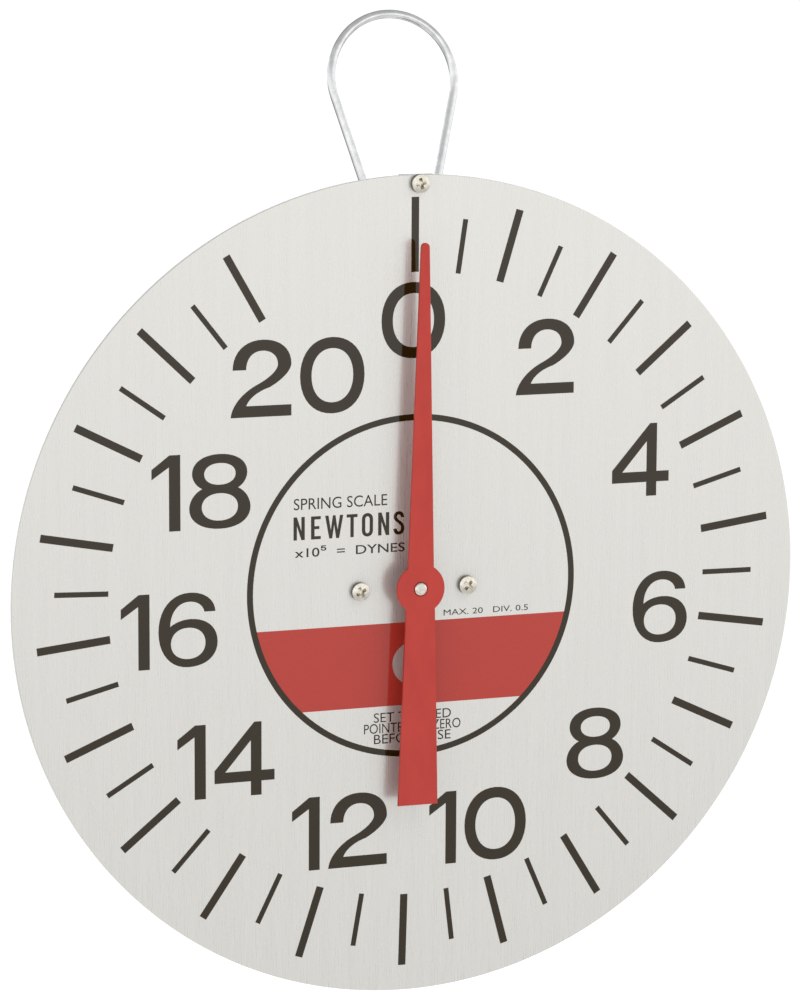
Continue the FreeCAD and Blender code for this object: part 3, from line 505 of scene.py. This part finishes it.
GLYPHS = {
    "0": [
        oval(0, 24.65, 0, 27.9),
        oval(4.35, 20.3, 4.05, 23.85),
    ],
    "1": [
        [(6.5, 0), (10.75, 0), (10.75, 27.7), (6.7, 27.7), (0, 22.7), (0, 19.0), (6.5, 23.35)],
    ],
    "2": [
        trace(
            (0, 0), (23, 0), (23, 4.1), (5.9, 4.1),
            (7.5, 8.6, 14.7, 10.6), (23, 14.9, 23, 19), (23, 28, 12.2, 28),
            (0.8, 28, 0.8, 17.2), (5.9, 17.2), (5.9, 24, 12, 24),
            (17.9, 24, 17.9, 18.9), (17.9, 15.6, 10.6, 12), (0.6, 7.4, 0, 0),
        ),
    ],
    "4": [
        [
            (13.9, 0), (18, 0), (18, 5.3), (23, 5.3), (23, 9.3), (18, 9.3), (18, 27.5),
            (15.2, 27.5), (0, 10.1), (0, 5.3), (13.9, 5.3),
        ],
        [(4.1, 9.3), (13.9, 9.3), (13.9, 20.7)],
    ],
    "6": [
        trace(
            (21.5, 20.1), (21, 27.4, 11.9, 27.4), (0, 27.4, 0, 13.4), (0, 0, 11.2, 0),
            (22.3, 0, 22.3, 8.9), (22.3, 17.7, 12.2, 17.7), (7.3, 17.7, 4.4, 15.2),
            (4.6, 24.1, 11.7, 24.1), (16.6, 24.1, 17.3, 20.1),
        ),
        oval(4.67, 17.7, 3.04, 14.55),
    ],
    "8": [
        trace(
            (11.5, 27.3), (21.9, 27.3, 21.9, 20.4), (21.9, 16.6, 18.4, 14.8),
            (23.1, 12.6, 23.1, 7.6), (23.1, 0, 11.6, 0), (0, 0, 0, 7.6),
            (0, 12.6, 4.9, 14.8), (1.1, 16.6, 1.1, 20.4), (1.1, 27.3, 11.5, 27.3),
        ),
        oval(5.65, 17.5, 16.1, 24.0),
        oval(4.7, 18.35, 3.0, 13.0),
    ],
    "N": [
        [
            (0, 0), (1.3, 0), (1.3, 5.2), (3.0, 0), (4.3, 0),
            (4.3, 8.5), (3.0, 8.5), (3.0, 3.3), (1.3, 8.5), (0, 8.5),
        ],
    ],
    "E": [
        [
            (0, 0), (3.75, 0), (3.75, 1.15), (1.35, 1.15), (1.35, 3.75), (3.2, 3.75),
            (3.2, 4.85), (1.35, 4.85), (1.35, 7.35), (3.75, 7.35), (3.75, 8.5), (0, 8.5),
        ],
    ],
    "W": [
        [
            (1.6, 0), (2.75, 0), (3.5, 5.0), (4.25, 0), (5.4, 0), (7.0, 8.5), (5.7, 8.5),
            (4.8, 3.1), (4.0, 8.5), (3.0, 8.5), (2.2, 3.1), (1.3, 8.5), (0, 8.5),
        ],
    ],
    "T": [
        [
            (1.45, 0), (2.75, 0), (2.75, 7.35), (4.2, 7.35),
            (4.2, 8.5), (0, 8.5), (0, 7.35), (1.45, 7.35),
        ],
    ],
    "O": [
        trace(
            (4.3, 2.2), (4.3, 6.3), (4.3, 8.6, 2.15, 8.6), (0, 8.6, 0, 6.3),
            (0, 2.2), (0, -0.1, 2.15, -0.1), (4.3, -0.1, 4.3, 2.2),
        ),
        trace(
            (3.0, 2.3), (3.0, 6.2), (3.0, 7.4, 2.15, 7.4), (1.3, 7.4, 1.3, 6.2),
            (1.3, 2.3), (1.3, 1.1, 2.15, 1.1), (3.0, 1.1, 3.0, 2.3),
        ),
    ],
    "S": [
        trace(
            (4.2, 6.3), (4.2, 8.6, 2.15, 8.6), (0.1, 8.6, 0.1, 6.5), (0.1, 5.3, 1.6, 4.4),
            (3.0, 3.5, 3.0, 2.4), (3.0, 1.1, 2.15, 1.1), (1.3, 1.1, 1.3, 2.2), (0, 2.2),
            (0, -0.1, 2.15, -0.1), (4.3, -0.1, 4.3, 2.3), (4.3, 3.9, 2.8, 4.9),
            (1.4, 5.8, 1.4, 6.5), (1.4, 7.4, 2.15, 7.4), (2.9, 7.4, 2.9, 6.3),
        ),
    ],
}
UNIT_LETTERS = tuple(zip("NEWTONS", (0, 6.7, 12.1, 20.4, 26.3, 32.6, 38.5)))
UNIT_X, UNIT_Z = -46.4, 19.3


def dial_disc():
    """The round dial sheet with its bore and three screw holes."""
    outlines = [circle(DIAL_RADIUS, DISC_X, DISC_Z, 360), circle(DIAL_BORE)]
    outlines += [circle(SCREW_HOLE, x, z, 32) for x, z, _ in SCREWS]
    disc = piece(
        "dial_disc",
        flat_mesh(outlines, -DIAL_THICK, 0, edge=DIAL_EDGE),
        "case", FINISHES["brushed_dial"],
    )
    upright_faces(disc.data, CUT_EDGE, -DIAL_THICK, 0.0)
    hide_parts("dial_plate")


def ticks():
    """A long mark for each newton and a short one for each half."""
    outlines = []
    for i in range(2 * FULL_LOAD + 1):
        head, width = SHORT_TICK if i % 2 else LONG_TICK
        bar = box(-width / 2, width / 2, TICK_FOOT, head)
        outlines.append(turned(bar, SWEEP * i / (2 * FULL_LOAD), z=-TICKS_DROP))
    piece("print_ticks", flat_mesh(outlines, INK_LOW, INK_HIGH), "case", INK)


def numerals():
    """The even numbers of newtons, each upright and centred on its place."""
    outlines = []
    for value, (x, z) in NUMERALS.items():
        laid, pen = [], 0.0
        for digit in str(value):
            glyph = GLYPHS[digit]
            laid += [[(px + pen, pz) for px, pz in outline] for outline in glyph]
            pen = max(px for outline in laid for px, _ in outline) + DIGIT_GAP
        width = pen - DIGIT_GAP
        height = max(pz for outline in laid for _, pz in outline)
        outlines += [
            [(px + x - width / 2, pz + z - height / 2) for px, pz in outline] for outline in laid
        ]
    piece("print_numerals", flat_mesh(outlines, INK_LOW, INK_HIGH), "case", INK)


def ring_and_band():
    """The ring round the middle of the dial, and the red band across it."""
    outer, inner = RING_RADIUS + RING_WIDTH / 2, RING_RADIUS - RING_WIDTH / 2
    ring = [circle(radius, RING_X, RING_Z, 180) for radius in (outer, inner)]
    piece("print_ring", flat_mesh(ring, INK_LOW, INK_HIGH), "case", INK)
    reach = inner + 0.1
    top, foot = (math.asin((z - RING_Z) / reach) for z in (BAND_TOP, BAND_FOOT))
    steps = 16
    side = [
        (reach * math.cos(a), RING_Z + reach * math.sin(a))
        for a in (foot + (top - foot) * i / steps for i in range(steps + 1))
    ]
    outline = [(RING_X + x, z) for x, z in side] + [(RING_X - x, z) for x, z in reversed(side)]
    plain_mark = circle(PLAIN_MARK, 0, (BAND_TOP + BAND_FOOT) / 2)
    piece(
        "print_band", flat_mesh([outline, plain_mark], INK_LOW, INK_HIGH / 2),
        "case", RED_PRINT,
    )


def words(name, text, low_x, high_x, low_z, high_z, weight=0.0):
    """Plain generic lettering, fitted to a box on the dial."""
    curve = bpy.data.curves.new(name, "FONT")
    curve.body = text
    curve.size = 10
    curve.extrude = (INK_HIGH - INK_LOW) / 2
    curve.offset = weight
    curve.resolution_u = 4
    mesh = mesh_of(curve)
    xs, zs = [v.co.x for v in mesh.vertices], [v.co.y for v in mesh.vertices]
    wide = (high_x - low_x) / (max(xs) - min(xs))
    tall = (high_z - low_z) / (max(zs) - min(zs))
    mesh.transform(
        DIAL_AXES
        @ Matrix.Translation((low_x, low_z, (INK_HIGH + INK_LOW) / 2))
        @ Matrix.Diagonal((wide, tall, 1, 1))
        @ Matrix.Translation((-min(xs), -min(zs), 0))
    )
    piece(name, mesh, "case", INK)


def unit_name():
    """The unit in bold narrow capitals."""
    outlines = [
        [(px + UNIT_X + pen, pz + UNIT_Z) for px, pz in outline]
        for letter, pen in UNIT_LETTERS
        for outline in GLYPHS[letter]
    ]
    piece("print_unit", flat_mesh(outlines, INK_LOW, INK_HIGH), "case", INK)


def lettering():
    """What the dial measures, in generic words only."""
    unit_name()
    words("print_kind", "SPRING SCALE", -46.3, -10.3, 30.4, 34.6)
    words("print_second_unit", "x10⁵  =  DYNES", -45.9, -3.4, 12.85, 16.9, weight=0.07)
    words("print_range", "MAX. 20   DIV. 0.5", 12, 45.5, -12.2, -10.0)
    words("print_zero_line_1", "SET THE RED", -15.2, 15.2, -50.8, -47.2)
    words("print_zero_line_2", "POINTER TO ZERO", -19, 19, -54.9, -51.2)
    words("print_zero_line_3", "BEFORE USE", -15.1, 15.1, -58.9, -55.3)


# ---------------------------------------------------------------- pointer

POINTER_OUT, POINTER_THICK = 8.2, 1.2
POINTER_EDGE, POINTER_BORE = 0.25, 2.6  # radii
POINTER_TIP, TIP_HALF = 127.0, 1.65
BOSS_RADIUS, ARM_HALF = 9.3, 5.0
TAIL_TOP_HALF, TAIL_END_HALF, TAIL_LONG = 5.65, 7.75, 81.1
POINTER_SET = 0.48  # degrees clockwise of upright


def arc(radius, begin, end, z=0.0, count=24):
    """Points round the dial's centre line from one angle to another, in degrees from the right."""
    angles = [math.radians(begin + (end - begin) * i / count) for i in range(count + 1)]
    return [(radius * math.cos(a), z + radius * math.sin(a)) for a in angles]


def pointer():
    """The tapered red blade with its round boss and broad tail."""
    arm_angle = math.degrees(math.acos(ARM_HALF / BOSS_RADIUS))
    tail_angle = math.degrees(math.acos(TAIL_TOP_HALF / BOSS_RADIUS))
    outline = arc(TIP_HALF, 0, 180, z=POINTER_TIP - TIP_HALF, count=12)
    outline += arc(BOSS_RADIUS, 180 - arm_angle, 180 + tail_angle)
    outline += [(-TAIL_END_HALF, -TAIL_LONG), (TAIL_END_HALF, -TAIL_LONG)]
    outline += arc(BOSS_RADIUS, -tail_angle, arm_angle)
    low = POINTER_OUT - POINTER_THICK
    blade = piece(
        "pointer_blade",
        flat_mesh(
            [turned(outline, POINTER_SET), circle(POINTER_BORE)], low, POINTER_OUT, POINTER_EDGE
        ),
        "pointer", FINISHES["red_paint"],
    )
    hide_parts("pointer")


# ---------------------------------------------------------------- dial screws

HEAD_RADIUS, HEAD_TALL, HEAD_SIDE, HEAD_FILLET = 3.43, 2.3, 1.8, 0.2
SHANK_RADIUS, SHANK_LONG = 1.5, 6.3
RECESS_TOP, RECESS_FOOT, RECESS_DEEP = (2.3, 0.72), (0.95, 0.32), 1.7  # half span and half width


def lathed(profile, sides=48):
    """The closed solid of a profile of radii and heights that starts and ends on the axis."""
    made = bmesh.new()
    rings = []
    for radius, height in profile:
        if radius:
            rings.append([made.verts.new((x, z, height)) for x, z in circle(radius, count=sides)])
        else:
            rings.append([made.verts.new((0, 0, height))] * sides)
    for first, second in zip(rings, rings[1:]):
        for i in range(sides):
            j = (i + 1) % sides
            corners = (first[i], first[j], second[j], second[i])
            made.faces.new([c for n, c in enumerate(corners) if c not in corners[:n]])
    return solid(made, "lathed")


def cross_cutter():
    """A cross that narrows downwards from above the head to the floor of its recess."""
    made = bmesh.new()
    rings = []
    for (span, width), height in (
        (RECESS_TOP, HEAD_TALL + 0.3), (RECESS_FOOT, HEAD_TALL - RECESS_DEEP)
    ):
        quarter = [(width, -width), (span, -width), (span, width)]
        ring = [Matrix.Rotation(math.tau * q / 4, 2) @ Vector(p) for q in range(4) for p in quarter]
        rings.append([made.verts.new((*p, height)) for p in ring])
    for i in range(len(rings[0])):
        j = (i + 1) % len(rings[0])
        made.faces.new((rings[0][i], rings[0][j], rings[1][j], rings[1][i]))
    for ring in rings:
        made.faces.new(ring)
    return solid(made, "cutter")


def dial_screws():
    """Cheese-headed screws with a cross recess that hold the dial sheet."""
    crown = HEAD_RADIUS - HEAD_FILLET
    rise = HEAD_TALL - HEAD_SIDE - HEAD_FILLET
    profile = [(0, -SHANK_LONG), (SHANK_RADIUS, -SHANK_LONG), (SHANK_RADIUS, 0), (HEAD_RADIUS, 0)]
    for i in range(5):
        a = math.radians(90 * i / 4)
        profile.append((crown + HEAD_FILLET * math.cos(a), HEAD_SIDE + HEAD_FILLET * math.sin(a)))
    for share in (0.8, 0.6, 0.4, 0.2, 0):
        profile.append((crown * share, HEAD_SIDE + HEAD_FILLET + rise * (1 - share ** 2)))
    blank, cutter = link(lathed(profile)), link(cross_cutter())
    cut = blank.modifiers.new("recess", "BOOLEAN")
    cut.object, cut.operation, cut.solver = cutter, "DIFFERENCE", "EXACT"
    bpy.context.view_layer.update()
    evaluated = blank.evaluated_get(bpy.context.evaluated_depsgraph_get())
    screw = bpy.data.meshes.new_from_object(evaluated)
    for spare in (blank, cutter):
        bpy.data.objects.remove(spare)
    together = bmesh.new()
    for x, z, turn in SCREWS:
        copy = screw.copy()
        copy.transform(
            DIAL_AXES
            @ Matrix.Translation((x, z, 0))
            @ Matrix.Rotation(math.radians(turn), 4, "Z")
        )
        together.from_mesh(copy)
    mesh = bpy.data.meshes.new("dial_screws")
    together.to_mesh(mesh)
    together.free()
    heads = piece(
        "dial_screw_set", mesh, "case", FINISHES["nickel_screw"], sharp=25
    )
    # The lower side walls of the heads take the dark nickel: painted shade round the foot of each
    # head.
    upright_faces(heads.data, SCREW_SIDE_SHADE, 0.0, HEAD_SIDE + HEAD_FILLET / 3)
    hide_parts("dial_screws")


# ---------------------------------------------------------------- spring

SPRING_WIRE = 0.6
SPRING_TURNS, SPRING_STEPS, SPRING_SIDES = 29.6, 1200, 12


def main_spring():
    """The extension spring's close coils, between the case and the carriage."""
    low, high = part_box("main_spring")
    wire = SPRING_WIRE * MM
    radius = (high.x - low.x) / 2 - wire
    x, y = (low.x + high.x) / 2, (low.y + high.y) / 2
    foot, head = low.z + wire, high.z - wire
    steps, sides = SPRING_STEPS, SPRING_SIDES
    made = bmesh.new()
    rings = []
    for i in range(steps + 1):
        turn = math.tau * SPRING_TURNS * i / steps
        outward = Vector((math.cos(turn), math.sin(turn), 0))
        centre = Vector((x, y, foot + (head - foot) * i / steps)) + outward * radius
        rings.append([
            made.verts.new(
                centre
                + outward * wire * math.cos(math.tau * s / sides)
                + Vector((0, 0, wire * math.sin(math.tau * s / sides)))
            )
            for s in range(sides)
        ])
    for first, second in zip(rings, rings[1:]):
        for s in range(sides):
            t = (s + 1) % sides
            made.faces.new((first[s], first[t], second[t], second[s]))
    made.faces.new(reversed(rings[0]))
    made.faces.new(rings[-1])
    mesh = solid(made, "coil_spring")
    mesh.materials.append(FINISHES["spring_steel"])
    mesh.shade_smooth()
    coil = link(mesh, "coil_spring")
    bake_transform(coil)
    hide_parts("main_spring")


# ---------------------------------------------------------------- studio

CAMERA_AZIMUTH, CAMERA_ELEVATION, CAMERA_ROLL = -20.09, 9.84, 0.29
CAMERA_DISTANCE = 1475.8
CAMERA_AIM = (-5.35, 31.66)
LENS, SENSOR = 145.0, 36.0
FLOOR_DROP, FLOOR_SIZE, FLOOR_GLOW = 0.75, 50.0, 0.52
BEHIND, HORIZON = 0.4, 1.1
HEIGHT_LEVELS = [(-1, 1.05), (-0.35, 0.68), (-0.04, 1.25), (0.15, 1.1), (0.6, 0.6), (1, 0.5)]
HORIZON_STOPS = (-0.14, -0.08, 0.32, 0.5)  # heights on a sphere, where it rises, stays and fades


def towards(azimuth, elevation):
    """The way from the dial to a place in the studio. Azimuth 0 is straight in front."""
    a, e = math.radians(azimuth), math.radians(elevation)
    return Vector((math.sin(a) * math.cos(e), -math.cos(a) * math.cos(e), math.sin(e)))


def camera():
    """A long lens, a little to the left of the dial and above it."""
    back = towards(CAMERA_AZIMUTH, CAMERA_ELEVATION)
    right = towards(CAMERA_AZIMUTH + 90, 0)
    turn = Matrix((right, back.cross(right), back)).transposed()
    turn = turn @ Matrix.Rotation(math.radians(CAMERA_ROLL), 3, "Z")
    data = bpy.data.cameras.new("camera")
    data.lens, data.sensor_width = LENS, SENSOR
    made = link(data, "camera")
    place = on_dial(*CAMERA_AIM) + back * CAMERA_DISTANCE * MM
    made.matrix_world = Matrix.Translation(place) @ turn.to_4x4()
    bpy.context.scene.camera = made


def soft_light(name, azimuth, elevation, distance, size, power):
    """A square softbox that faces the dial and leaves no reflection of its own."""
    data = bpy.data.lights.new(name, "AREA")
    data.shape = "SQUARE"
    data.size = size
    data.energy = power
    back = towards(azimuth, elevation)
    made = link(data, name)
    made.location = DIAL_CENTRE + back * distance
    made.rotation_mode = "QUATERNION"
    made.rotation_quaternion = (-back).to_track_quat("-Z", "Y")
    made.visible_glossy = False


def surround():
    """A soft surround, brighter below and in front than behind, and white along the horizon,
    where the floor meets it."""
    world = bpy.data.worlds.new("surround")
    world.use_nodes = True
    nodes, links = world.node_tree.nodes, world.node_tree.links
    split = nodes.new("ShaderNodeSeparateXYZ")
    links.new(nodes.new("ShaderNodeTexCoord").outputs["Generated"], split.inputs[0])

    def along(axis, low, high, levels):
        """Levels at given places between low and high along an axis."""
        place = nodes.new("ShaderNodeMapRange")
        place.inputs["From Min"].default_value = low
        place.inputs["From Max"].default_value = high
        ramp = nodes.new("ShaderNodeValToRGB")
        ramp.color_ramp.interpolation = "EASE"
        keys = ramp.color_ramp.elements
        while len(keys) < len(levels):
            keys.new(0.5)
        for key, (at, level) in zip(keys, levels):
            key.position = (at - low) / (high - low)
            key.color = (level, level, level, 1)
        links.new(split.outputs[axis], place.inputs["Value"])
        links.new(place.outputs["Result"], ramp.inputs["Fac"])
        return ramp.outputs["Color"]

    depth = along("Y", -1, 1, [(-1, 1), (0.2, 1), (0.75, BEHIND)])
    height = along("Z", -1, 1, HEIGHT_LEVELS)
    foot, low, high, top = HORIZON_STOPS
    band = along("Z", foot, top, [(foot, 0), (low, HORIZON), (high, HORIZON), (top, 0)])
    level = height
    for operation, source in (("MULTIPLY", depth), ("MAXIMUM", band)):
        combined = nodes.new("ShaderNodeMath")
        combined.operation = operation
        links.new(level, combined.inputs[0])
        links.new(source, combined.inputs[1])
        level = combined.outputs[0]
    links.new(level, nodes["Background"].inputs["Color"])
    return world


def studio():
    """A plain pale floor well below the scale, a soft surround and two large soft lights."""
    scene = bpy.context.scene
    scene.view_settings.view_transform = "Standard"
    scene.world = surround()

    floor = Finish("pale_floor", (0.9, 0.9, 0.9), Roughness=0.9)
    floor.shader.inputs["Emission Color"].default_value = (1, 1, 1, 1)
    floor.shader.inputs["Emission Strength"].default_value = FLOOR_GLOW
    half = FLOOR_SIZE / 2
    level = cad_box[0].z - FLOOR_DROP
    mesh = bpy.data.meshes.new("floor")
    corners = [(x, y, level) for x, y in box(-half, half, -half, half)]
    mesh.from_pydata(corners, [], [(0, 1, 2, 3)])
    mesh.materials.append(floor.material)
    ground = link(mesh, "floor")
    ground.visible_glossy = False

    soft_light("key", 35, 50, 1.5, 0.9, 8)
    soft_light("rear", 150, 35, 2.2, 1.2, 18)


dress_cad_nodes()
dial_disc()
ticks()
numerals()
ring_and_band()
lettering()
pointer()
dial_screws()
main_spring()
camera()
studio()
